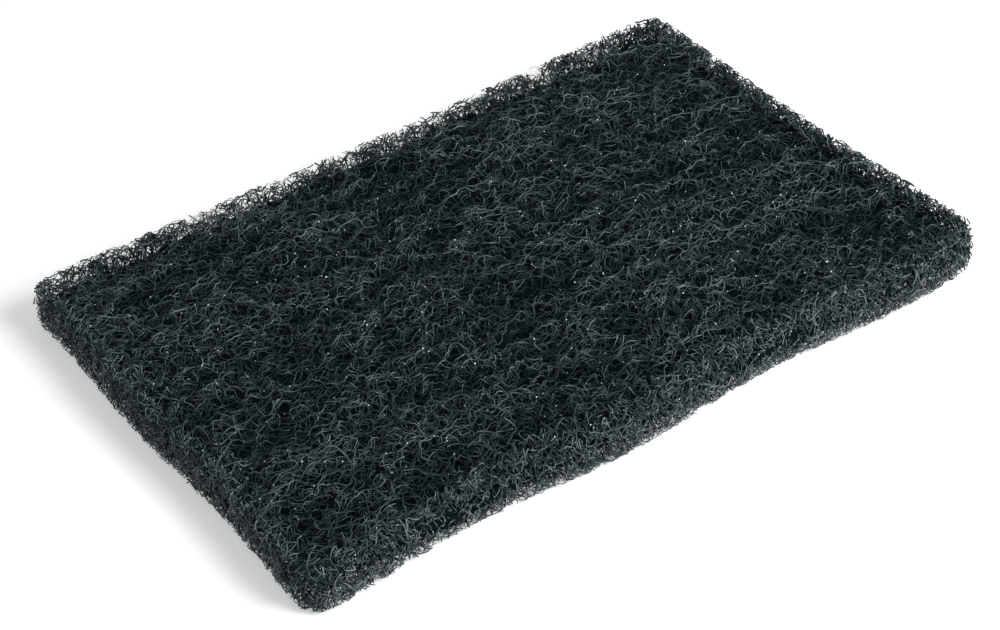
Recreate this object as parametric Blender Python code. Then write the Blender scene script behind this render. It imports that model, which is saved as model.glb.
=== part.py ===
"""A grill scouring pad: one slab of thick, crimped nylon fibre, bonded with resin and grit and cut to size.

The pad lies flat on a table. Its long side runs along X and its thickness along +Z.
The origin is at the middle of its underside. The fibres themselves are about 0.25 mm thick,
so this solid shows the mat that they form: raised strands that cross each other, with pits between them.
"""

import math

import bmesh
import bpy
from mathutils import Matrix, Vector, noise

# The slab, in metres
PAD_LENGTH = 0.150
PAD_WIDTH = 0.100
PAD_THICKNESS = 0.010
CORNER_RADIUS = 0.005  # of the outline, seen from above
SMALLEST_CORNER = 0.001  # the upper and lower faces keep at least this radius at their corners
RIM_RADIUS = 0.0035  # of the roll from the upper face into the cut side
LOWER_RIM_RADIUS = 0.0020  # of the tighter roll from the underside into it

# Each side wanders inwards from a straight cut: how deep, how long the wave is, and where it crests.
FRONT_WAVE_DEPTH = 0.0018
FRONT_WAVE_LENGTH = 0.064
FRONT_WAVE_CREST = -0.009
LEFT_WAVE_DEPTH = 0.0009
LEFT_WAVE_LENGTH = 0.054
LEFT_WAVE_CREST = 0.008
BACK_WAIST = 0.0012  # the back side is nipped in this much at its middle
RIGHT_WAIST = 0.0014  # and so is the right side
WANDER_FADE = 3  # the power with which a side's wave fades towards the middle of the pad

# The mat of strands
STRAND_SPACING = 0.0070  # across the strands
STRAND_RUN = 0.0210  # along them
STRAND_DIRECTIONS = (-24.0, 4.0, 30.0)  # degrees from the pad's long side, one for each layer
STRAND_SHARPNESS = 0.13  # a smaller number makes thinner strands
LAYER_SHIFT = Vector((31.7, -17.3, 9.1))  # each layer reads its own part of the noise
PIT_DEPTH = 0.0021  # on the upper face
CUT_PIT_DEPTH = 0.0008  # on the sides, where the knife went through
PRESSED_PIT_DEPTH = 0.0006  # on the underside, which lies on the table
PRESSED_CREST = 0.2  # strands nearer their crest than this are pressed flat there
SWELL_HEIGHT = 0.0004  # a slow rise and fall of the upper face
SWELL_LENGTH = 0.055

# How finely the slab is divided: the strands run mostly along it, so its cells are long
CELL_LENGTH = 0.0036
CELL_WIDTH = 0.0018
FEWEST_CELLS = 6
RIM_ROWS = 5
BLOCK_SIZE = 2.0  # of the block that becomes the slab; each point is read as a share of half of it

FIBRE_COLOUR = (0.022, 0.030, 0.032, 1.0)
FIBRE_ROUGHNESS = 0.62


def remove_everything():
    for old in list(bpy.data.objects):
        bpy.data.objects.remove(old, do_unlink=True)


def divided_block():
    """A block round the origin, cut into cells by loop cuts along each axis in turn."""
    bm = bmesh.new()
    bmesh.ops.create_cube(bm, size=BLOCK_SIZE)
    long_cells = max(FEWEST_CELLS, round(PAD_LENGTH / CELL_LENGTH))
    wide_cells = max(FEWEST_CELLS, round(PAD_WIDTH / CELL_WIDTH))
    for axis, cells in enumerate((long_cells, wide_cells, RIM_ROWS)):
        along = [edge for edge in bm.edges if reach(edge, axis) > BLOCK_SIZE / 2]
        bmesh.ops.subdivide_edges(bm, edges=along, cuts=cells - 1, use_grid_fill=True)
    return bm


def reach(edge, axis):
    """How far an edge goes along an axis."""
    return abs(edge.verts[0].co[axis] - edge.verts[1].co[axis])


def roll_radius(level):
    """The radius of the rolled rim above or below, which is at most half the pad's thickness."""
    return min(RIM_RADIUS if level > 0 else LOWER_RIM_RADIUS, PAD_THICKNESS / 2)


def rim_section(level):
    """(how far in from the cut side, how high) the rim stands at this level, from -1 below to 1 above."""
    straight = 1.0 / RIM_ROWS  # the middle row is the upright part of the side
    turn = max(0.0, (abs(level) - straight) / (1.0 - straight)) * math.pi / 2
    radius = roll_radius(level)
    height = PAD_THICKNESS / 2 - radius * (1.0 - math.sin(turn))
    return radius * (1.0 - math.cos(turn)), PAD_THICKNESS / 2 + math.copysign(height, level)


def rounded_plan(u, v, inset):
    """A point of the square from -1 to 1, moved to the rounded outline `inset` inside the cut side."""
    half_length = PAD_LENGTH / 2 - inset
    half_width = PAD_WIDTH / 2 - inset
    corner = max(CORNER_RADIUS - inset, SMALLEST_CORNER)
    x = abs(u) * half_length
    y = abs(v) * half_width
    a = (x - half_length + corner) / corner
    b = (y - half_width + corner) / corner
    if a > 0 and b > 0:
        # the square at the corner becomes a quarter of a disc
        x = half_length - corner + corner * a * math.sqrt(1 - b * b / 2)
        y = half_width - corner + corner * b * math.sqrt(1 - a * a / 2)
    return math.copysign(x, u), math.copysign(y, v)


def dip(place, crest, length, depth):
    """How far a side lies inside its straight line: 0 at a crest of its wave, `depth` at a trough."""
    return depth / 2 * (1 - math.cos(2 * math.pi * (place - crest) / length))


def wandered(x, y):
    """The same point after the sides wander inwards. The middle of the pad stays where it is."""
    if x > 0:
        side_dip = dip(y, PAD_WIDTH / 2, PAD_WIDTH, RIGHT_WAIST)
    else:
        side_dip = dip(y, LEFT_WAVE_CREST, LEFT_WAVE_LENGTH, LEFT_WAVE_DEPTH)
    if y > 0:
        end_dip = dip(x, PAD_LENGTH / 2, PAD_LENGTH, BACK_WAIST)
    else:
        end_dip = dip(x, FRONT_WAVE_CREST, FRONT_WAVE_LENGTH, FRONT_WAVE_DEPTH)
    along = side_dip * abs(2 * x / PAD_LENGTH) ** WANDER_FADE
    across = end_dip * abs(2 * y / PAD_WIDTH) ** WANDER_FADE
    return x - math.copysign(along, x), y - math.copysign(across, y)


def strand_height(point):
    """0 in a pit, 1 on the crest of a strand. A strand follows the line where a smooth noise is zero."""
    highest = 0.0
    for layer, degrees in enumerate(STRAND_DIRECTIONS, start=1):
        turned = Matrix.Rotation(-math.radians(degrees), 3, "Z") @ point
        place = Vector((turned.x / STRAND_RUN, turned.y / STRAND_SPACING, turned.z / STRAND_SPACING))
        value = noise.noise(place + LAYER_SHIFT * layer)
        highest = max(highest, math.exp(-((value / STRAND_SHARPNESS) ** 2)))
    return highest


def shape_slab(bm):
    """Gives the block the pad's plain form: rounded corners, rolled rims and wandering sides."""
    for vert in bm.verts:
        u, v, level = vert.co / (BLOCK_SIZE / 2)
        inset, height = rim_section(level)
        x, y = wandered(*rounded_plan(u, v, inset))
        vert.co = (x, y, height)
    bm.normal_update()


def press_in_relief(bm):
    """Sinks the pits between the strands, and lets the upper face swell a little."""
    moved = []
    for vert in bm.verts:
        crest = strand_height(vert.co)
        above = max(0.0, vert.normal.z)
        below = max(0.0, -vert.normal.z)
        pit = PIT_DEPTH * above + CUT_PIT_DEPTH * (1 - above - below)
        pressed_pit = PRESSED_PIT_DEPTH * below
        sunk = pit * (1 - crest) + pressed_pit * (1 - min(1.0, crest / PRESSED_CREST))
        swell = SWELL_HEIGHT * noise.noise(vert.co / SWELL_LENGTH) * above
        moved.append(vert.co + vert.normal * (swell - sunk))
    for vert, place in zip(bm.verts, moved):
        vert.co = (place.x, place.y, max(0.0, place.z))


def centre_on_underside(bm):
    """Puts the origin at the middle of the pad's outline, on the table."""
    xs = [vert.co.x for vert in bm.verts]
    ys = [vert.co.y for vert in bm.verts]
    zs = [vert.co.z for vert in bm.verts]
    middle = Vector(((min(xs) + max(xs)) / 2, (min(ys) + max(ys)) / 2, min(zs)))
    bmesh.ops.translate(bm, verts=bm.verts, vec=-middle)


def fibre_material():
    material = bpy.data.materials.new("charcoal_nylon_fibre")
    material.use_nodes = True
    shader = material.node_tree.nodes["Principled BSDF"]
    shader.inputs["Base Color"].default_value = FIBRE_COLOUR
    shader.inputs["Roughness"].default_value = FIBRE_ROUGHNESS
    shader.inputs["Metallic"].default_value = 0.0
    return material


def scouring_pad():
    bm = divided_block()
    shape_slab(bm)
    press_in_relief(bm)
    centre_on_underside(bm)
    bmesh.ops.recalc_face_normals(bm, faces=bm.faces)
    mesh = bpy.data.meshes.new("scouring_pad")
    bm.to_mesh(mesh)
    bm.free()
    mesh.shade_smooth()
    mesh.materials.append(fibre_material())
    pad = bpy.data.objects.new("scouring_pad", mesh)
    bpy.context.scene.collection.objects.link(pad)
    return pad


remove_everything()
scouring_pad()
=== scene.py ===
# %% [markdown]
# # A grill scouring pad, fibre by fibre
# The real pad is a web of thick nylon fibres. They are crimped, blown into a loose mat, sprayed with resin
# and grit, baked, and cut to size. From a step away you see single fibres, dark pits between them, bright
# specks of grit, and edges that are open enough to see through.
# The plan: load the solid model as the frame, set the camera and the studio, build a core, painted dark
# as the shade in the depth of the web, and then lay thousands of thin curves over it, closest together
# where the web is seen.

# %% The frame
import math

import bpy
import numpy as np
from mathutils import Matrix, Vector, noise


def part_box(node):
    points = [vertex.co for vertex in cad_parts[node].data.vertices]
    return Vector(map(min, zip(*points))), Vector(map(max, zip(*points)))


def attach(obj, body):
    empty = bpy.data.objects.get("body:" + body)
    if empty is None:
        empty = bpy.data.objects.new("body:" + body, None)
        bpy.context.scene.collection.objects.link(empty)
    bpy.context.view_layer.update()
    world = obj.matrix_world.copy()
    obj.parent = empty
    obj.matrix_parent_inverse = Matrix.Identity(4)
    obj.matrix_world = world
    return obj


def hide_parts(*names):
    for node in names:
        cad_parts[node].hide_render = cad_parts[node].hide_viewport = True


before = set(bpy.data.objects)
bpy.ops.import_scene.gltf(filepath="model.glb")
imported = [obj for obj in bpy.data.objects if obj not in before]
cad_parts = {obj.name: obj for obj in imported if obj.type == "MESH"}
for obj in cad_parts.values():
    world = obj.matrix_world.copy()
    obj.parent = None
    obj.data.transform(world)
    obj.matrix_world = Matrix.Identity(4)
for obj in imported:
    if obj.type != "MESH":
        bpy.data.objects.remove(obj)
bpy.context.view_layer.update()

MM = 0.001  # Blender's unit here is the metre
low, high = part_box("scouring_pad")
print("solid pad, in mm:", [round((b - a) / MM, 1) for a, b in zip(low, high)])

# %% [markdown]
# ## The sizes
# The web fills the same slab as the solid: 150 by 100 by 10 mm, with rounded corners, a rolled rim and
# sides that wander a little, because a knife never cuts a springy web quite straight. Length and width are
# read from the frame, and the waves of the sides are the solid's own. Each wave is one dictionary, so that
# a whole side can be handed to a function.

# %% Sizes of the slab
LENGTH = high.x - low.x
WIDTH = high.y - low.y
THICKNESS = 10.0 * MM
CORNER_RADIUS = 5.0 * MM  # of the outline, seen from above
RIM_RADIUS = 3.5 * MM  # of the roll from the upper face, on the near sides
FAR_RIM_RADIUS = 2.4 * MM  # the open web stands up fuller on the far sides
LOWER_RIM_RADIUS = 2.0 * MM
FRONT_WAVE = dict(depth=1.8 * MM, length=64 * MM, crest=-9 * MM)
LEFT_WAVE = dict(depth=0.9 * MM, length=54 * MM, crest=8 * MM)
BACK_WAIST = dict(depth=1.2 * MM, length=150 * MM, crest=75 * MM)
RIGHT_WAIST = dict(depth=1.4 * MM, length=100 * MM, crest=50 * MM)
print("slab", round(LENGTH / MM, 1), "by", round(WIDTH / MM, 1), "mm")

# %% [markdown]
# ## The form as a question
# Later steps keep asking the same two things: how far inside the cut outline is this point, and how high
# is the web there? The functions `inside` and `face_heights` answer for whole arrays of points at once, so
# a fibre can be cut off at the outline and can follow the roll of the rim.


# %% How far inside the outline
def dip(place, depth, length, crest):
    """How far a side lies inside its straight line: 0 at a crest of its wave, `depth` at a trough."""
    return depth / 2 * (1 - np.cos(2 * math.pi * (place - crest) / length))


def inside(x, y):
    """The distance from each point to the cut outline, more than 0 inside the pad."""
    side = np.where(x > 0, dip(y, **RIGHT_WAIST), dip(y, **LEFT_WAVE))
    end = np.where(y > 0, dip(x, **BACK_WAIST), dip(x, **FRONT_WAVE))
    past_x = np.abs(x) - (LENGTH / 2 - side - CORNER_RADIUS)
    past_y = np.abs(y) - (WIDTH / 2 - end - CORNER_RADIUS)
    corner = np.hypot(np.maximum(past_x, 0), np.maximum(past_y, 0))
    return CORNER_RADIUS - corner - np.minimum(np.maximum(past_x, past_y), 0)


print("the middle is", round(float(inside(np.zeros(1), np.zeros(1))[0]) / MM, 1), "mm inside")


# %% How high the faces are
def rolled(depth_in, radius):
    """How far a face has curved towards the middle of the pad at this distance inside the outline."""
    out = np.clip(1 - depth_in / radius, 0, 1)
    return radius * (1 - np.sqrt(1 - out**2))


def face_heights(x, y):
    """How high the lower and the upper face are at each point."""
    depth_in = np.maximum(inside(x, y), 0)
    far = np.clip(0.5 + 2 * (x / LENGTH + y / WIDTH), 0, 1)  # 0 by the near sides and 1 by the far ones
    radius = RIM_RADIUS + far * (FAR_RIM_RADIUS - RIM_RADIUS)
    return rolled(depth_in, LOWER_RIM_RADIUS), THICKNESS - rolled(depth_in, radius)


print("the faces stand at", [float(face[0]) / MM for face in face_heights(np.zeros(1), np.zeros(1))], "mm")

# %% [markdown]
# ## The ragged cut
# The open edge of the web isn't a clean line. It ends in notches: deep ones along the back, where light
# shines through, and slight ones on the other sides. They could be cut by hand, but a product of fixed
# waves along the edge is simpler, and every fibre that ends there agrees on the same notches.

# %% Notches
BACK_NOTCH = 2.8 * MM  # how deep the notches of the back side are
SIDE_NOTCH = 0.5 * MM  # and those of the other sides
NOTCH_SLANT = 1.7  # they run aslant into the web
NOTCH_WAVES = ((3.7, 0.6), (1.5, 2.1), (0.62, 0.0))  # (length in mm over 2 pi, phase)
BACK_CORNER_FADE = 9  # they fade over a ninth of the pad's length at the two back corners
NOTCH_AT_TABLE = 0.2  # the share of their depth that is left low on the side


def at_back(x, y):
    """True where the back is the nearest side, seen from the middle of the pad."""
    return y / WIDTH > abs(x) / LENGTH


def ragged_edge(x, y, z):
    """How far the web falls short of the cut outline, in notches of three sizes, deepest at the back."""
    along = (x + NOTCH_SLANT * y) / MM
    wide, middling, fine = (np.sin(along / length + phase) for length, phase in NOTCH_WAVES)
    notch = 1.8 * wide * middling + 0.4 * fine
    back_notch = BACK_NOTCH * np.clip(BACK_CORNER_FADE * (0.5 - np.abs(x) / LENGTH), 0, 1)
    deepest = np.where(at_back(x, y), back_notch, SIDE_NOTCH)
    return deepest * np.clip(z / THICKNESS, NOTCH_AT_TABLE, 1) * np.clip(notch, 0, 1)


# %% [markdown]
# ## The camera
# The camera stands where the photographer stood, in front of the pad and to its left, looking down at
# about 39 degrees with a long lens. The outline of the pad in the picture fixes all of this.

# %% Camera
CAMERA_TURN = math.radians(33.62)
CAMERA_TILT = math.radians(38.56)
CAMERA_ROLL = math.radians(3.21)
CAMERA_DISTANCE = 451.6 * MM
CAMERA_ASIDE = 1.39 * MM
CAMERA_ABOVE = 3.58 * MM
LENS = 86.76  # millimetres, on a sensor 36 wide

forward = Vector((0, math.cos(CAMERA_TILT), -math.sin(CAMERA_TILT)))
level_up = Vector((0, math.sin(CAMERA_TILT), math.cos(CAMERA_TILT)))
cos_roll, sin_roll = math.cos(CAMERA_ROLL), math.sin(CAMERA_ROLL)
right = cos_roll * Vector((1, 0, 0)) - sin_roll * level_up
up = sin_roll * Vector((1, 0, 0)) + cos_roll * level_up
place = -(CAMERA_ASIDE * right + CAMERA_ABOVE * up + CAMERA_DISTANCE * forward)
axes = Matrix((right, up, -forward)).transposed().to_4x4()
bpy.ops.object.camera_add()
camera = bpy.context.object
camera.data.lens = LENS
camera.data.clip_start = 10 * MM
camera.matrix_world = Matrix.Rotation(-CAMERA_TURN, 4, "Z") @ Matrix.Translation(place) @ axes
bpy.context.scene.camera = camera
print("camera at", [round(v, 3) for v in camera.matrix_world.translation])

# %% [markdown]
# ## The lamps
# The photo has soft light and no hard shadow. One large lamp in front and to the right lights the faces
# and the long cut side, and a weaker one on the left fills the shade. Each is a square area lamp that looks
# at the pad, so it is enough to say where it stands, how large it is and how strong.

# %% Lamps
KEY_LAMP = dict(azimuth=28, elevation=38, distance=0.75, size=0.36, power=6.4)
FILL_LAMP = dict(azimuth=-70, elevation=55, distance=0.9, size=0.6, power=1.2)


def softbox(name, azimuth, elevation, distance, size, power):
    """A square lamp that looks at the pad. Azimuth 0 is in front of the pad, 90 is to its right."""
    a, e = math.radians(azimuth), math.radians(elevation)
    direction = Vector((math.sin(a) * math.cos(e), -math.cos(a) * math.cos(e), math.sin(e)))
    bpy.ops.object.light_add(type="AREA", location=direction * distance)
    lamp = bpy.context.object
    lamp.name = name
    lamp.rotation_euler = direction.to_track_quat("Z", "Y").to_euler()
    lamp.data.size = size
    lamp.data.energy = power


softbox("key_lamp", **KEY_LAMP)
softbox("fill_lamp", **FILL_LAMP)

# %% [markdown]
# ## The surround
# Round the pad the picture is plain white. A world that shone as white as that would wash the pad out, so
# a Light Path node tells apart what is seen, which is white, from the light that falls on the pad, which
# is dim. The floor needs such nodes too, so two functions make them.

# %% Surround
SURROUND_LIGHT = 0.25  # as a lamp
SEEN_WHITE = 1.0  # as it is seen


def seen_by_eye(tree):
    """A socket that is 1 for what is seen, straight, in a gloss or through glass, and 0 for plain light."""
    path = tree.nodes.new("ShaderNodeLightPath")
    socket = path.outputs["Is Camera Ray"]
    for ray in ("Is Glossy Ray", "Is Transmission Ray"):
        either = tree.nodes.new("ShaderNodeMath")
        either.operation = "MAXIMUM"
        tree.links.new(socket, either.inputs[0])
        tree.links.new(path.outputs[ray], either.inputs[1])
        socket = either.outputs[0]
    return socket


def map_range(tree, to_low, to_high, from_low=0.0, from_high=1.0):
    """A node that turns one range of values into another, and stays at its ends beyond them."""
    node = tree.nodes.new("ShaderNodeMapRange")
    node.inputs["From Min"].default_value = from_low
    node.inputs["From Max"].default_value = from_high
    node.inputs["To Min"].default_value = to_low
    node.inputs["To Max"].default_value = to_high
    return node


world = bpy.data.worlds.new("pale_surround")
bpy.context.scene.world = world
world.use_nodes = True
surround = world.node_tree.nodes["Background"]
surround.inputs["Color"].default_value = (1, 1, 1, 1)
level = map_range(world.node_tree, SURROUND_LIGHT, SEEN_WHITE)
world.node_tree.links.new(seen_by_eye(world.node_tree), level.inputs["Value"])
world.node_tree.links.new(level.outputs["Result"], surround.inputs["Strength"])
bpy.context.scene.view_settings.view_transform = "Standard"
print("world:", world.name)

# %% [markdown]
# ## The floor
# The pad lies on white paper. Lit only by lamps that suit the dark pad, paper looks grey. So it glows a
# little as well, but only where it is seen: the glow lights nothing, and the pad's soft shadow still shows.
# It grows with the distance, because the lamps don't reach far.

# %% Floor
FLOOR_SIZE = 8.0
FLOOR_LEVEL = -0.05 * MM  # just under the pad, so that no fibre lies in it
bpy.ops.object.select_all(action="DESELECT")
bpy.ops.mesh.primitive_plane_add(size=FLOOR_SIZE, location=(0, 0, FLOOR_LEVEL))
floor = bpy.context.object
floor.name = "studio_floor"
bpy.ops.object.transform_apply(location=True)
print("floor is", FLOOR_SIZE, "m wide")

# %% The floor's material
FLOOR_COLOUR = (0.86, 0.86, 0.86, 1)
FLOOR_GLOW = 0.34  # round the pad
FAR_GLOW = 1.0  # where the lamps don't reach
GLOW_GROWS_FROM, GLOW_GROWS_TO = 0.3, 1.5  # metres from the pad
paper = bpy.data.materials.new("white_paper")
paper.use_nodes = True
nodes, links = paper.node_tree.nodes, paper.node_tree.links
shader = nodes["Principled BSDF"]
shader.inputs["Base Color"].default_value = FLOOR_COLOUR
shader.inputs["Roughness"].default_value = 0.9
shader.inputs["Specular IOR Level"].default_value = 0.1
glow = nodes.new("ShaderNodeEmission")
where = nodes.new("ShaderNodeTexCoord")
distance = nodes.new("ShaderNodeVectorMath")
distance.operation = "LENGTH"
growing = map_range(paper.node_tree, FLOOR_GLOW, FAR_GLOW, GLOW_GROWS_FROM, GLOW_GROWS_TO)
lift = nodes.new("ShaderNodeMath")
lift.operation = "MULTIPLY"
both = nodes.new("ShaderNodeAddShader")
links.new(where.outputs["Object"], distance.inputs[0])
links.new(distance.outputs["Value"], growing.inputs["Value"])
links.new(seen_by_eye(paper.node_tree), lift.inputs[0])
links.new(growing.outputs["Result"], lift.inputs[1])
links.new(lift.outputs[0], glow.inputs["Strength"])
links.new(shader.outputs[0], both.inputs[0])
links.new(glow.outputs[0], both.inputs[1])
links.new(both.outputs[0], nodes["Material Output"].inputs["Surface"])
floor.data.materials.append(paper)
print("floor wears", paper.name)

# %% [markdown]
# ## The finishes
# Nylon fibre coated with resin is a very dark blue-green charcoal with a dull shine. The coat isn't even:
# where it is thick the fibre is lighter, and grit makes it rough. One node group makes that uneven coat
# from noise on object coordinates, and each finish uses it with its own values.


# %% The uneven resin coat
def add_socket(group, name, direction, kind, value=None):
    made = group.interface.new_socket(name=name, in_out=direction, socket_type=kind)
    if value is not None:
        made.default_value = value


def resin_coat_group():
    """A node group: patchy colour, patchy roughness and the fine grain of grit, as a height."""
    group = bpy.data.node_groups.new("resin_coat", "ShaderNodeTree")
    add_socket(group, "Bare", "INPUT", "NodeSocketColor", (0.03, 0.04, 0.042, 1))
    add_socket(group, "Coated", "INPUT", "NodeSocketColor", (0.08, 0.1, 0.1, 1))
    add_socket(group, "Coat With Shade", "INPUT", "NodeSocketFloat", 1.0)
    add_socket(group, "Patch Scale", "INPUT", "NodeSocketFloat", 300.0)
    add_socket(group, "Grain Scale", "INPUT", "NodeSocketFloat", 4000.0)
    add_socket(group, "Colour", "OUTPUT", "NodeSocketColor")
    add_socket(group, "Roughness", "OUTPUT", "NodeSocketFloat")
    add_socket(group, "Grain", "OUTPUT", "NodeSocketFloat")
    n, link = group.nodes, group.links.new
    given, put = n.new("NodeGroupInput"), n.new("NodeGroupOutput")
    where = n.new("ShaderNodeTexCoord")
    patch, grain = n.new("ShaderNodeTexNoise"), n.new("ShaderNodeTexNoise")
    patch.inputs["Detail"].default_value = 3.0
    grain.inputs["Detail"].default_value = 1.0
    link(where.outputs["Object"], patch.inputs["Vector"])
    link(where.outputs["Object"], grain.inputs["Vector"])
    link(given.outputs["Patch Scale"], patch.inputs["Scale"])
    link(given.outputs["Grain Scale"], grain.inputs["Scale"])
    spread = map_range(group, 0.55, 1.25, from_low=0.35, from_high=0.65)  # patches of thin and thick coat
    # the second factor fades with depth, so this mix also paints shade in the depth
    thick = n.new("ShaderNodeMath")
    thick.operation = "MULTIPLY"
    tint = n.new("ShaderNodeMix")
    tint.data_type = "RGBA"
    dull = map_range(group, 0.32, 0.60)  # from the smooth resin to the grain of the grit
    link(patch.outputs["Fac"], spread.inputs["Value"])
    link(spread.outputs["Result"], thick.inputs[0])
    link(given.outputs["Coat With Shade"], thick.inputs[1])
    link(thick.outputs[0], tint.inputs["Factor"])
    link(given.outputs["Bare"], tint.inputs["A"])
    link(given.outputs["Coated"], tint.inputs["B"])
    link(grain.outputs["Fac"], dull.inputs["Value"])
    link(tint.outputs["Result"], put.inputs["Colour"])
    link(dull.outputs["Result"], put.inputs["Roughness"])
    link(grain.outputs["Fac"], put.inputs["Grain"])
    return group


resin_coat = resin_coat_group()
print("group", resin_coat.name, "with", len(resin_coat.nodes), "nodes")

# %% [markdown]
# The fibres, the core and the grit share that coat. How much of it reached a point, faded with depth as
# painted shade, is stored on the mesh as an attribute, which the material reads. The core has none, so
# it keeps its bare colour.

# %% Fibre, core and grit materials
COOL_GLOSS = (0.62, 0.92, 1.0, 1.0)  # the resin's reflections are a little blue
GRIT_IOR = 1.77  # of aluminium oxide


def coated_material(name, bare, coated, patch_scale, grain_depth, shine):
    """A Principled material whose colour, roughness and bump come from the resin coat."""
    material = bpy.data.materials.new(name)
    material.use_nodes = True
    n, link = material.node_tree.nodes, material.node_tree.links.new
    coat = n.new("ShaderNodeGroup")
    coat.node_tree = resin_coat
    coat.inputs["Bare"].default_value = (*bare, 1)
    coat.inputs["Coated"].default_value = (*coated, 1)
    coat.inputs["Patch Scale"].default_value = patch_scale
    coat_shade_reader = n.new("ShaderNodeAttribute")
    coat_shade_reader.attribute_name = "coat_with_depth_shade"
    link(coat_shade_reader.outputs["Fac"], coat.inputs["Coat With Shade"])
    bump = n.new("ShaderNodeBump")
    bump.inputs["Distance"].default_value = grain_depth
    principled = n["Principled BSDF"]
    principled.inputs["Specular IOR Level"].default_value = shine
    principled.inputs["Specular Tint"].default_value = COOL_GLOSS
    link(coat.outputs["Colour"], principled.inputs["Base Color"])
    link(coat.outputs["Roughness"], principled.inputs["Roughness"])
    link(coat.outputs["Grain"], bump.inputs["Height"])
    link(bump.outputs["Normal"], principled.inputs["Normal"])
    return material


fibre = coated_material(
    "coated_fibre",
    bare=(0.002, 0.008, 0.009),
    coated=(0.215, 0.268, 0.283),
    patch_scale=350.0,
    grain_depth=0.03 * MM,
    shine=0.12,
)
# painted shade: the near-black of the web's depth
core_web = coated_material(
    "shaded_web",
    bare=(0.001, 0.004, 0.005),
    coated=(0.006, 0.011, 0.012),
    patch_scale=500.0,
    grain_depth=0.2 * MM,
    shine=0.03,
)
# its pale colour is partly the mineral's own and partly a painted glint
grit = coated_material(
    "mineral_grit",
    bare=(0.08, 0.09, 0.09),
    coated=(0.86, 0.90, 0.90),
    patch_scale=1500.0,
    grain_depth=0.01 * MM,
    shine=1.0,
)
grit.node_tree.nodes["Principled BSDF"].inputs["IOR"].default_value = GRIT_IOR
print("materials:", fibre.name, core_web.name, grit.name)

# %% [markdown]
# ## The core
# Deep in the web no single fibre can be made out: it is dark with shade, and has darker pits. So the
# depth is one closed body, painted near-black as that shade, about 2 mm below the faces and 2 or 3 mm
# inside the cut sides, where open fibres take over. It starts as a cube at its size, gets its round
# edges by beveling, is remeshed into small even faces and is then pushed in and out by cloudy noise. It
# stands in for the solid pad.

# %% Core: block, bevel and remesh
CORE_LEFT, CORE_RIGHT = -LENGTH / 2 + 2.3 * MM, LENGTH / 2 - 2.9 * MM
CORE_FRONT, CORE_BACK = -WIDTH / 2 + 2.2 * MM, WIDTH / 2 - 3.4 * MM
CORE_LOW, CORE_HIGH = 1.7 * MM, THICKNESS - 2.3 * MM
CORE_BEVEL = 2.2 * MM
CORE_FACE = 1.3 * MM
bpy.ops.object.select_all(action="DESELECT")
core_size = (CORE_RIGHT - CORE_LEFT, CORE_BACK - CORE_FRONT, CORE_HIGH - CORE_LOW)
core_place = ((CORE_LEFT + CORE_RIGHT) / 2, (CORE_FRONT + CORE_BACK) / 2, (CORE_LOW + CORE_HIGH) / 2)
bpy.ops.mesh.primitive_cube_add(size=1.0, location=core_place, scale=core_size)
core = bpy.context.object
core.name = "bonded_core"
bpy.ops.object.transform_apply(location=True, rotation=True, scale=True)
bpy.ops.object.mode_set(mode="EDIT")
bpy.ops.mesh.select_all(action="SELECT")
bpy.ops.mesh.bevel(offset=CORE_BEVEL, segments=4)
bpy.ops.object.mode_set(mode="OBJECT")
remesh = core.modifiers.new("even_faces", "REMESH")
remesh.mode = "VOXEL"
remesh.voxel_size = CORE_FACE
bpy.ops.object.modifier_apply(modifier=remesh.name)
print("core has", len(core.data.polygons), "faces")

# %% Core: lumps and pits
CORE_NOISE = (("lumps", 6.0 * MM, 1.8 * MM), ("pits", 2.0 * MM, 1.6 * MM))  # (name, size, strength)
MOSTLY_INWARDS = 0.6  # over a half, the noise sinks more than it raises
for name, size, strength in CORE_NOISE:
    clouds = bpy.data.textures.new(name, "CLOUDS")
    clouds.noise_scale = size
    clouds.noise_depth = 1
    push = core.modifiers.new(name, "DISPLACE")
    push.texture = clouds
    push.texture_coords = "LOCAL"
    push.strength = strength
    push.mid_level = MOSTLY_INWARDS
    bpy.ops.object.modifier_apply(modifier=push.name)
bpy.ops.object.shade_smooth()
core.data.materials.append(core_web)
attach(core, "root")
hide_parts("scouring_pad")
print("core reaches", [round(v / MM, 1) for v in core.dimensions], "mm")

# %% [markdown]
# ## One fibre
# A crimped fibre seen from above is a line whose heading swings to and fro. Two sine waves of different
# lengths, with chance phases, give bends of 1 to 4 mm radius, which is what the picture shows. The same
# trick weaves it up and down. Drawing thousands of them by hand is out of the question, so each is a row of
# points, computed from chance numbers that are seeded, so that the pad is the same every time.

# %% A crimped line
FEWEST_POINTS = 4
SLOW_SWING, SLOW_WAVE = (0.4, 1.0), (6, 11)  # radians, and the wave's length in mm
CRIMP_SWING, CRIMP_WAVE = 0.6, (2.8, 4.8)
WEAVE_WAVE = (3.6, 7.0)  # mm
chance = np.random.default_rng(7)


def crimped_line(start, heading, length, step):
    """Plan points of one fibre, a step apart, through `start` at its middle."""
    count = max(FEWEST_POINTS, int(length / step))
    along = (np.arange(count) - count / 2) * step
    turn = heading + np.zeros(count)
    slow = (chance.uniform(*SLOW_SWING), chance.uniform(*SLOW_WAVE))
    crimp = (CRIMP_SWING, chance.uniform(*CRIMP_WAVE))
    for swing, wave in (slow, crimp):
        turn = turn + swing * np.sin(2 * math.pi * along / (wave * MM) + chance.uniform(0, 2 * math.pi))
    steps = np.stack([np.cos(turn), np.sin(turn)], 1) * step
    plan = np.cumsum(steps, 0)
    return plan - plan[count // 2] + start, along


def weave(along, amplitude):
    """How far a fibre rises and falls along its way."""
    wave = chance.uniform(*WEAVE_WAVE) * MM
    return amplitude * np.sin(2 * math.pi * along / wave + chance.uniform(0, 2 * math.pi))


# %% A curl
CURL_STEP = 0.7 * MM
CURL_PITCH = 0.3  # how steeply the coil climbs


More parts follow.
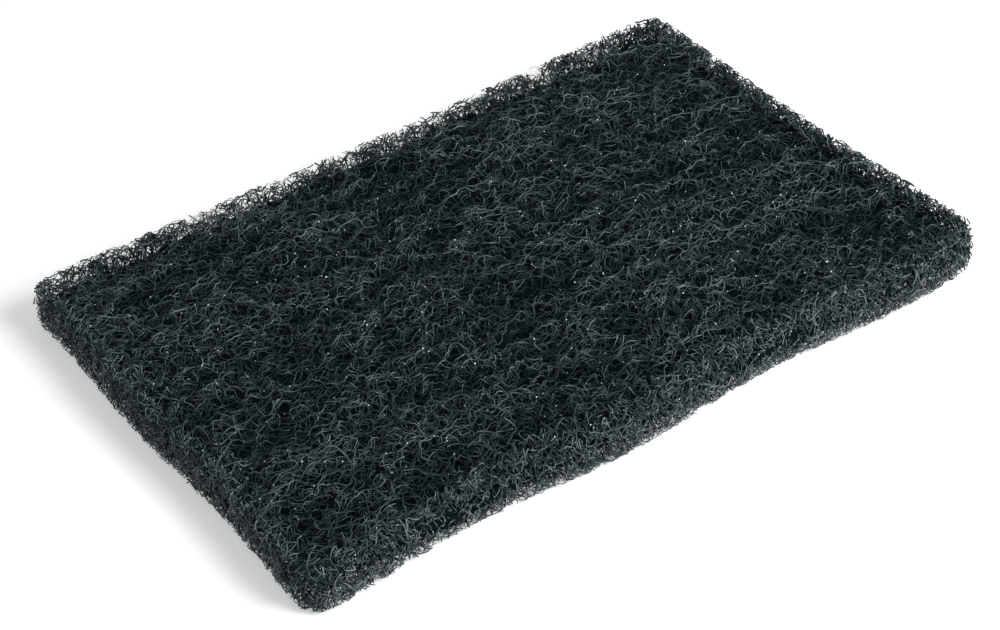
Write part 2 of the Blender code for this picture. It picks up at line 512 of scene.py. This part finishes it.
def curl(middle, radius, length, flat=1.0):
    """Points of one short arc of a loose coil. It may lie any way in space, or nearly flat."""
    first, other = chance.normal(size=(2, 3))
    ahead = first / np.linalg.norm(first)
    aside = np.cross(ahead, other)
    aside = aside / np.linalg.norm(aside)
    count = max(FEWEST_POINTS, int(length / CURL_STEP))
    turn = (np.arange(count) - count / 2) * CURL_STEP / radius
    arc = np.outer(np.sin(turn), ahead) + np.outer(1 - np.cos(turn), aside)
    pitch = np.outer(CURL_PITCH * turn, np.cross(ahead, aside))
    return middle + radius * (arc + pitch) * (1, 1, flat)


# %% [markdown]
# ## Pits
# The face of the real web has round dark holes of 1 to 4 mm, with fibres crowded at their brims.
# Deleting fibres there would leave cut ends in view. Pushing their points outwards from the middle of each
# pit, as a finger would, makes the hole and the crowded brim at once.

# %% Places of the pits, and the push
PITS = 120
PIT_MARGIN = 8 * MM  # of the length and the width
PIT_RADII = (0.7, 1.8)  # mm
LEAST_DISTANCE = 0.02 * MM  # keeps a point at the very middle from flying off
pit_places = chance.uniform(-0.5, 0.5, (PITS, 2)) * (LENGTH - PIT_MARGIN, WIDTH - PIT_MARGIN)
pit_radii = chance.uniform(*PIT_RADII, PITS) * MM


def pushed_aside(plan):
    """Fibres pass round a pit and crowd at its brim. The nearer its middle, the further they are pushed."""
    away = plan[:, None] - pit_places
    far = np.maximum(np.hypot(away[..., 0], away[..., 1]), LEAST_DISTANCE)
    nearest = np.argmin(far / pit_radii, 1)
    rows = np.arange(len(plan))
    push = np.sqrt(np.maximum(pit_radii[nearest] / far[rows, nearest], 1))
    return pit_places[nearest] + away[rows, nearest] * push[:, None]


print(PITS, "pits, up to", round(2 * pit_radii.max() / MM, 1), "mm across")

# %% [markdown]
# ## The mat's relief
# The mat is uneven: its face rises in strands that cross, with hollows between them. The solid
# has them as its relief. The fibres have to rise and sink with the same strands, so the same noise is read
# here: a strand runs where a smooth noise, stretched along one direction, is near zero.

# %% Strands
STRAND_SPACING = 7.0 * MM
STRAND_RUN = 21.0 * MM
STRAND_DIRECTIONS = (-24.0, 4.0, 30.0)  # degrees from the pad's long side, one for each layer
STRAND_SHARPNESS = 0.13
LAYER_SHIFT = Vector((31.7, -17.3, 9.1))  # each layer reads its own part of the noise
RELIEF = 1.1 * MM  # how far the fibres sink between the strands
turns = [Matrix.Rotation(-math.radians(a), 3, "Z") for a in STRAND_DIRECTIONS]


def strand_height(x, y, z):
    """0 in a hollow and 1 on a raised strand of the mat, the same strands as the solid has."""
    highest = 0.0
    for layer, turn in enumerate(turns, start=1):
        at = turn @ Vector((x, y, z))
        at = Vector((at.x / STRAND_RUN, at.y / STRAND_SPACING, at.z / STRAND_SPACING))
        value = noise.noise(at + LAYER_SHIFT * layer)
        highest = max(highest, math.exp(-((value / STRAND_SHARPNESS) ** 2)))
    return highest


def sunk_by_relief(plan):
    """How far the relief sinks each plan point."""
    return RELIEF * np.array([1 - strand_height(x, y, THICKNESS) for x, y in plan])


print("at the middle the relief sinks", round(sunk_by_relief([(0, 0)])[0] / MM, 2), "mm")

# %% [markdown]
# ## From lines to tubes
# A fibre is a poly spline, and one small profile swept along it makes the tube. Three sides are enough for
# a thing about 0.15 mm thick, and keep each piece light. The profile has a radius of 1, so a point's own
# radius on the spline is the fibre's radius in metres.

# %% The profile
bpy.ops.object.select_all(action="DESELECT")
bpy.ops.curve.primitive_bezier_circle_add(radius=1.0)
profile = bpy.context.object
profile.name = "fibre_profile"
profile.data.splines.clear()
triangle = profile.data.splines.new("POLY")
triangle.points.add(2)
for point, angle in zip(triangle.points, (0, 120, 240)):
    point.co = (math.cos(math.radians(angle)), math.sin(math.radians(angle)), 0, 1)
triangle.use_cyclic_u = True
print("profile has", len(triangle.points), "corners")

# %% [markdown]
# The resin is sprayed from outside, so fibres near the surface are coated most, and those in the depth
# stay bare and dark. That dark is partly the thinner coat and partly painted shade, and it is what makes
# the pits look deep. Each point of a mesh stores how much coat reached it, with that painted shade.

# %% Coat, and painted shade in the depth
# how deep the coat and the painted shade fade
DEPTH_SHADE_AND_COAT_REACH = 1.0 * MM


def store_coat_with_depth_shade(piece, own):
    """Stores each point's coat and painted depth shade. `own` is how much its fibre or grain catches."""
    at = np.empty(len(piece.data.vertices) * 3, np.float32)
    piece.data.vertices.foreach_get("co", at)
    x, y, z = at.reshape(-1, 3).T
    within = np.maximum(inside(x, y), 0)
    floor_height, top_height = face_heights(x, y)
    depth = np.minimum(np.minimum(top_height - z, z - floor_height), within)
    # the deeper a point lies, the darker it is painted: painted shade
    coat_with_depth_shade = own * np.exp(-np.maximum(depth, 0) / DEPTH_SHADE_AND_COAT_REACH)
    layer = piece.data.attributes.new("coat_with_depth_shade", "FLOAT", "POINT")
    layer.data.foreach_set("value", coat_with_depth_shade.astype(np.float32))


# %% A piece of web
FEWEST_KEPT = 3
CAP_CORNERS = 6  # of the two ends of a tube
MERGED = 0.001 * MM


def runs_of(keep):
    """The stretches of a fibre that are kept, as (first, last + 1) pairs."""
    edges = np.flatnonzero(np.diff(np.concatenate([[0], keep.astype(int), [0]])))
    return [(a, b) for a, b in zip(edges[::2], edges[1::2]) if b - a >= FEWEST_KEPT]


def web_piece(name, fibres):
    """One mesh from many fibres, each given as (points, radius, share of coat)."""
    curve = bpy.data.curves.new(name, "CURVE")
    curve.dimensions = "3D"
    curve.bevel_mode = "OBJECT"
    curve.bevel_object = profile
    curve.use_fill_caps = True
    for points, radius, own in fibres:
        spline = curve.splines.new("POLY")
        spline.points.add(len(points) - 1)
        spline.points.foreach_set("co", np.c_[points, np.ones(len(points))].ravel())
        spline.points.foreach_set("radius", np.full(len(points), radius))
        spline.points.foreach_set("tilt", np.full(len(points), chance.uniform(0, 2)))
    piece = bpy.data.objects.new(name, curve)
    bpy.context.scene.collection.objects.link(piece)
    bpy.ops.object.select_all(action="DESELECT")
    piece.select_set(True)
    bpy.context.view_layer.objects.active = piece
    bpy.ops.object.convert(target="MESH")
    bpy.ops.object.shade_smooth()
    piece = bpy.context.object
    corners = [len(triangle.points) * len(points) + CAP_CORNERS for points, radius, own in fibres]
    store_coat_with_depth_shade(piece, np.repeat([own for points, radius, own in fibres], corners))
    bpy.ops.object.mode_set(mode="EDIT")
    bpy.ops.mesh.select_all(action="SELECT")
    bpy.ops.mesh.remove_doubles(threshold=MERGED)
    bpy.ops.mesh.normals_make_consistent(inside=False)
    bpy.ops.object.mode_set(mode="OBJECT")
    piece.data.materials.append(fibre)
    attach(piece, "root")
    triangles = sum(len(p.vertices) - 2 for p in piece.data.polygons)
    print(name, "has", len(fibres), "fibres and", triangles, "triangles")


# %% [markdown]
# ## The upper web
# Most fibres lie along the length of the pad, because the web was laid that way, and the rest lie anyhow.
# The web was also laid wider than the pad and then cut, so fibres start outside it too. Without those, the
# rim would be thinner than the middle.

# %% Thickness, coat, heading and place of a fibre
FIBRE_RADIUS = 0.078 * MM
RADIUS_SPREAD = (0.75, 1.25)
LEAST_COAT = 0.2
LAID_ALONG = 0.72  # the share of fibres that lie along the pad
LAID_HEADING, HEADING_SPREAD = 6, 32  # degrees
PAST_THE_CUT = 24 * MM


def fibre_radius():
    """Fibres differ in thickness by a quarter either way."""
    return FIBRE_RADIUS * chance.uniform(*RADIUS_SPREAD)


def coat_share():
    """How much coat one fibre caught: most have little, and a few are pale with it."""
    return LEAST_COAT + chance.random() ** 2


def heading_along_pad():
    """The way one fibre runs, in radians."""
    if chance.random() < LAID_ALONG:
        return math.radians(chance.normal(LAID_HEADING, HEADING_SPREAD))
    return chance.uniform(0, math.pi)


def anywhere(past=0.0):
    """A chance place over the pad, or up to half of `past` outside it."""
    return chance.uniform(-0.5, 0.5, 2) * (LENGTH + past, WIDTH + past)


# %% Long fibres near a face
RIM_BEND = 0.65  # the share of the rim's roll that the long fibres follow
SEEN_DEPTH = 1.0 * MM  # fibres less deep than this are seen well, so they get more points
FINE_STEP, COARSE_STEP = 0.85 * MM, 1.4 * MM
LONG_FIBRES = (12, 40)  # mm
MOST_WEAVE = 0.8 * MM
LONG_ENDS = (-0.25, 0.6)  # mm, how far a cut end falls short of the knife's path


def face_fibres(total_length, shallow, deep, from_top):
    """Fibres within a few millimetres of the upper or the lower face, `total_length` metres of them."""
    fibres, laid = [], 0.0
    while laid < total_length:
        start = anywhere(PAST_THE_CUT)
        depth = shallow + (deep - shallow) * chance.random()
        step = FINE_STEP if from_top and depth < SEEN_DEPTH else COARSE_STEP
        plan, along = crimped_line(start, heading_along_pad(), chance.uniform(*LONG_FIBRES) * MM, step)
        depth = depth + weave(along, min(MOST_WEAVE, depth))
        plan = pushed_aside(plan) if from_top else plan
        within = inside(*plan.T)
        floor_height, top_height = face_heights(*plan.T)
        if from_top:
            # the knife went through these: they bend down at the rim only a little, and end there
            height = THICKNESS - RIM_BEND * (THICKNESS - top_height) - depth - sunk_by_relief(plan)
            under = height < top_height
        else:
            height = floor_height + depth
            under = True
        cut = within - ragged_edge(*plan.T, height) > chance.uniform(*LONG_ENDS) * MM
        for a, b in runs_of(cut & under):
            radius = fibre_radius()
            fibres.append((np.c_[plan[a:b], np.maximum(height[a:b], radius)], radius, coat_share()))
            laid += (b - a) * step
    return fibres


# %% [markdown]
# Long fibres alone would look combed. The real face is broken up by short curls that lie nearly flat, and
# the web is thickest with them at the front left.

# %% Short curls of the upper face
CURLS_AT_MIDDLE, CURLS_FALL = 0.75, 0.5  # the chance of a curl, and its fall towards the back right
TOP_CURL_DEPTHS = (0.1, 1.5)  # mm
TOP_CURL_LENGTHS, TOP_CURL_BENDS = (3, 7), (0.9, 2.6)  # mm
LYING = 0.45  # they are flattened to this share of their height


def top_curls(count):
    """Short curls in the upper millimetres of the web."""
    fibres = []
    while len(fibres) < count:
        start = anywhere()
        if chance.random() > CURLS_AT_MIDDLE - CURLS_FALL * (start[0] / LENGTH + start[1] / WIDTH):
            continue
        height = THICKNESS - chance.uniform(*TOP_CURL_DEPTHS) * MM - sunk_by_relief(start[None])[0]
        length = chance.uniform(*TOP_CURL_LENGTHS) * MM
        bend = chance.uniform(*TOP_CURL_BENDS) * MM
        points = curl((*start, height), bend, length, flat=LYING)
        points[:, :2] = pushed_aside(points[:, :2])
        x, y, z = points.T
        top_height = face_heights(x, y)[1]
        for a, b in runs_of((inside(x, y) > 0) & (z < top_height)):
            fibres.append((points[a:b], fibre_radius(), coat_share()))
    return fibres


# %% [markdown]
# So many fibres are laid in three pieces, each of which stays light enough to handle. The grit will need
# places to sit, so some points along the top of the fibres are kept as perches.

# %% Upper web, in three pieces
perches = []
for number in (1, 2, 3):
    laid = face_fibres(total_length=22.0, shallow=0.08 * MM, deep=2.0 * MM, from_top=True) + top_curls(1700)
    web_piece(f"upper_web_{number}", laid)
    for points, radius, own in laid:
        perches += [at + (0, 0, radius) for at in points[2:-2:5]]

# %% [markdown]
# ## The lower web
# The underside is the same web, pressed flat on the table and hardly seen, so fewer fibres are enough.

# %% Lower web
web_piece("lower_web", face_fibres(total_length=17.0, shallow=0.15 * MM, deep=1.6 * MM, from_top=False))

# %% [markdown]
# ## The cut edge
# Round the rim the web is as open as anywhere, but there is light behind it, so this is where you see
# through it. Its fibres lie at every height, and stop where the knife went. On the two far sides, the back
# and the right, they stand in clumps with gaps between them, and look thicker against the light. There
# they get less coat, which is painted shade.

# %% Far and near sides, and clumps
CLUMP = 2.2 * MM
BACK_SPARSENESS, SIDE_SPARSENESS = 0.0, -0.26  # a fibre is there only where the noise is above this


def on_far_sides(start):
    """True in the half of the pad that is nearer the back and the right side."""
    return start[0] / LENGTH + start[1] / WIDTH > 0


def in_a_clump(place):
    """Loose fibre gathers in clumps, with gaps of a millimetre or two between, most of all at the back."""
    sparseness = BACK_SPARSENESS if at_back(place[0], place[1]) else SIDE_SPARSENESS
    return noise.noise(Vector(place) / CLUMP) > sparseness


# %% Fibres at every height
EDGE_DEPTH = 5.0 * MM
EDGE_STEP = 0.9 * MM
EDGE_LENGTHS = (6, 22)  # mm
EDGE_WEAVE = 0.3  # of the thickness
EDGE_ENDS = (-0.3, 0.5)  # mm
# the far sides' smaller share of coat is painted shade
FAR_LOOK, NEAR_LOOK = (1.8, 0.6), (1.25, 1.0)  # (how many times as thick, how many times as coated)


def edge_fibres(total_length):
    """Fibres in the outer millimetres of the web, `total_length` metres of them."""
    fibres, laid = [], 0.0
    while laid < total_length:
        start = anywhere()
        if not 0 < inside(start[:1], start[1:])[0] < EDGE_DEPTH:
            continue
        level = chance.uniform(0.02, 0.98)
        far = on_far_sides(start)
        if far and not in_a_clump((*start, level * THICKNESS)):
            continue
        heading = chance.uniform(0, math.pi)
        plan, along = crimped_line(start, heading, chance.uniform(*EDGE_LENGTHS) * MM, EDGE_STEP)
        level = level + weave(along, min(EDGE_WEAVE, level, 1 - level))
        within = inside(*plan.T)
        floor_height, top_height = face_heights(*plan.T)
        height = floor_height + (top_height - floor_height) * level
        cut = within - ragged_edge(*plan.T, height) > chance.uniform(*EDGE_ENDS) * MM
        # less coat on the far sides: painted shade
        thicker, coated = FAR_LOOK if far else NEAR_LOOK
        for a, b in runs_of(cut & (within < EDGE_DEPTH + 1 * MM)):
            radius = thicker * fibre_radius()
            points = np.c_[plan[a:b], np.maximum(height[a:b], radius)]
            fibres.append((points, radius, coated * coat_share()))
            laid += (b - a) * EDGE_STEP
    return fibres


web_piece("cut_edge_web", edge_fibres(total_length=10.0))

# %% [markdown]
# The cut itself shows short curls that lie any way in space, so that the front looks finely speckled and
# the back is a ragged net. Each is an arc of a loose coil, cut off at the knife's path. The near sides are
# dense, and the far ones are so loose that the light comes through. The near curls get more coat, which is
# painted light, and the far ones less, which is painted shade.

# %% Curls in the cut sides
LOW_ON_THE_NEAR_SIDES = 1.25  # more than 1 gathers the curls nearer the table
RIM_CURL_BENDS = (0.8, 2.6)  # mm
SHORTEST_CURL = 1.6 * MM
CURL_ENDS = (-0.25, 0.4)  # mm


def rim_curls(count, far, reach, longest, thicker):
    """Curls within `reach` of the cut, on the far sides or on the near ones, the front and the left."""
    fibres = []
    while len(fibres) < count:
        start = anywhere()
        if on_far_sides(start) != far or not 0 < inside(start[:1], start[1:])[0] < reach:
            continue
        level = 0.02 + 0.96 * chance.random() ** (1.0 if far else LOW_ON_THE_NEAR_SIDES)
        middle = (*start, level * THICKNESS)
        if far and not in_a_clump(middle):
            continue
        points = curl(middle, chance.uniform(*RIM_CURL_BENDS) * MM, chance.uniform(SHORTEST_CURL, longest))
        x, y, z = points.T
        floor_height, top_height = face_heights(x, y)
        radius = thicker * fibre_radius()
        between = (z > floor_height + radius) & (z < top_height)
        cut = inside(x, y) - ragged_edge(x, y, z) > chance.uniform(*CURL_ENDS) * MM
        # more coat on the near sides is painted light, and less on the far sides is painted shade
        own = 0.5 * coat_share() if far else 0.4 + coat_share()
        for a, b in runs_of(between & cut):
            fibres.append((points[a:b], radius, own))
    return fibres


near_curls = rim_curls(8000, far=False, reach=3.0 * MM, longest=4.4 * MM, thicker=1.2)
web_piece("near_side_curls", near_curls)
for points, radius, own in near_curls:
    perches += [at + (0, 0, radius) for at in points[1:-1:3]]
web_piece("far_side_curls", rim_curls(4200, far=True, reach=4.6 * MM, longest=6.0 * MM, thicker=1.95))
print(len(perches), "perches for the grit")

# %% [markdown]
# ## The grit
# The resin holds grains of hard mineral. Most are dull with coat. Here and there one is painted pale,
# partly the mineral's own broken face and partly a painted glint where it catches the lamp. One grain is
# an icosphere knocked out of round, and each of the others is a turned and stretched copy of it, all in
# one mesh.

# %% One grain
bpy.ops.object.select_all(action="DESELECT")
bpy.ops.mesh.primitive_ico_sphere_add(subdivisions=1, radius=1.0)
grain = bpy.context.object
bpy.ops.object.mode_set(mode="EDIT")
bpy.ops.mesh.select_all(action="SELECT")
bpy.ops.transform.vertex_random(offset=0.25, uniform=1.0, seed=3)
bpy.ops.object.mode_set(mode="OBJECT")
one = np.array([v.co for v in grain.data.vertices])
one_faces = np.array([p.vertices[:] for p in grain.data.polygons])
bpy.data.objects.remove(grain, do_unlink=True)
print("one grain has", len(one_faces), "faces")

# %% All the grains
GRAINS = 1400
GRAIN_RADII = (0.09, 0.19)  # mm
PALE_GRAINS = 0.4  # the share painted pale: a broken face, and a painted glint
DULL_COAT, PALE_COAT = 0.1, 1.2  # a pale grain has both
PERCH_DEPTH = 1.4 * MM  # below the top of the pad
SIDE_PERCH_DEPTH = 1.0 * MM  # inside its sides
perches = np.array(perches)
at_side = inside(perches[:, 0], perches[:, 1]) < SIDE_PERCH_DEPTH
perches = perches[(perches[:, 2] > THICKNESS - PERCH_DEPTH) | at_side]
corners, faces = [], []
for number, index in enumerate(chance.choice(len(perches), GRAINS, replace=False)):
    longest = chance.uniform(*GRAIN_RADII) * MM
    size = longest * np.array([1, chance.uniform(0.7, 1), chance.uniform(0.6, 1)])
    turn = Matrix.Rotation(chance.uniform(0, math.pi), 3, Vector(chance.normal(size=3)))
    corners.append((one * size) @ np.array(turn).T + perches[index])
    faces.append(one_faces + number * len(one))
mesh = bpy.data.meshes.new("grit_grains")
mesh.from_pydata(np.concatenate(corners).tolist(), [], np.concatenate(faces).tolist())
grains = bpy.data.objects.new("grit_grains", mesh)
bpy.context.scene.collection.objects.link(grains)
# pale grains are partly the mineral's own colour and partly painted glints
pale = (chance.random(GRAINS) < PALE_GRAINS) * PALE_COAT + DULL_COAT
store_coat_with_depth_shade(grains, np.repeat(pale, len(one)))
mesh.materials.append(grit)
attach(grains, "root")
print("grit_grains has", len(mesh.polygons), "triangles")

# %% [markdown]
# ## The end
# The profile has done its work and would count as a piece of the pad, so it goes.

# %% Clearing up
bpy.data.objects.remove(profile, do_unlink=True)
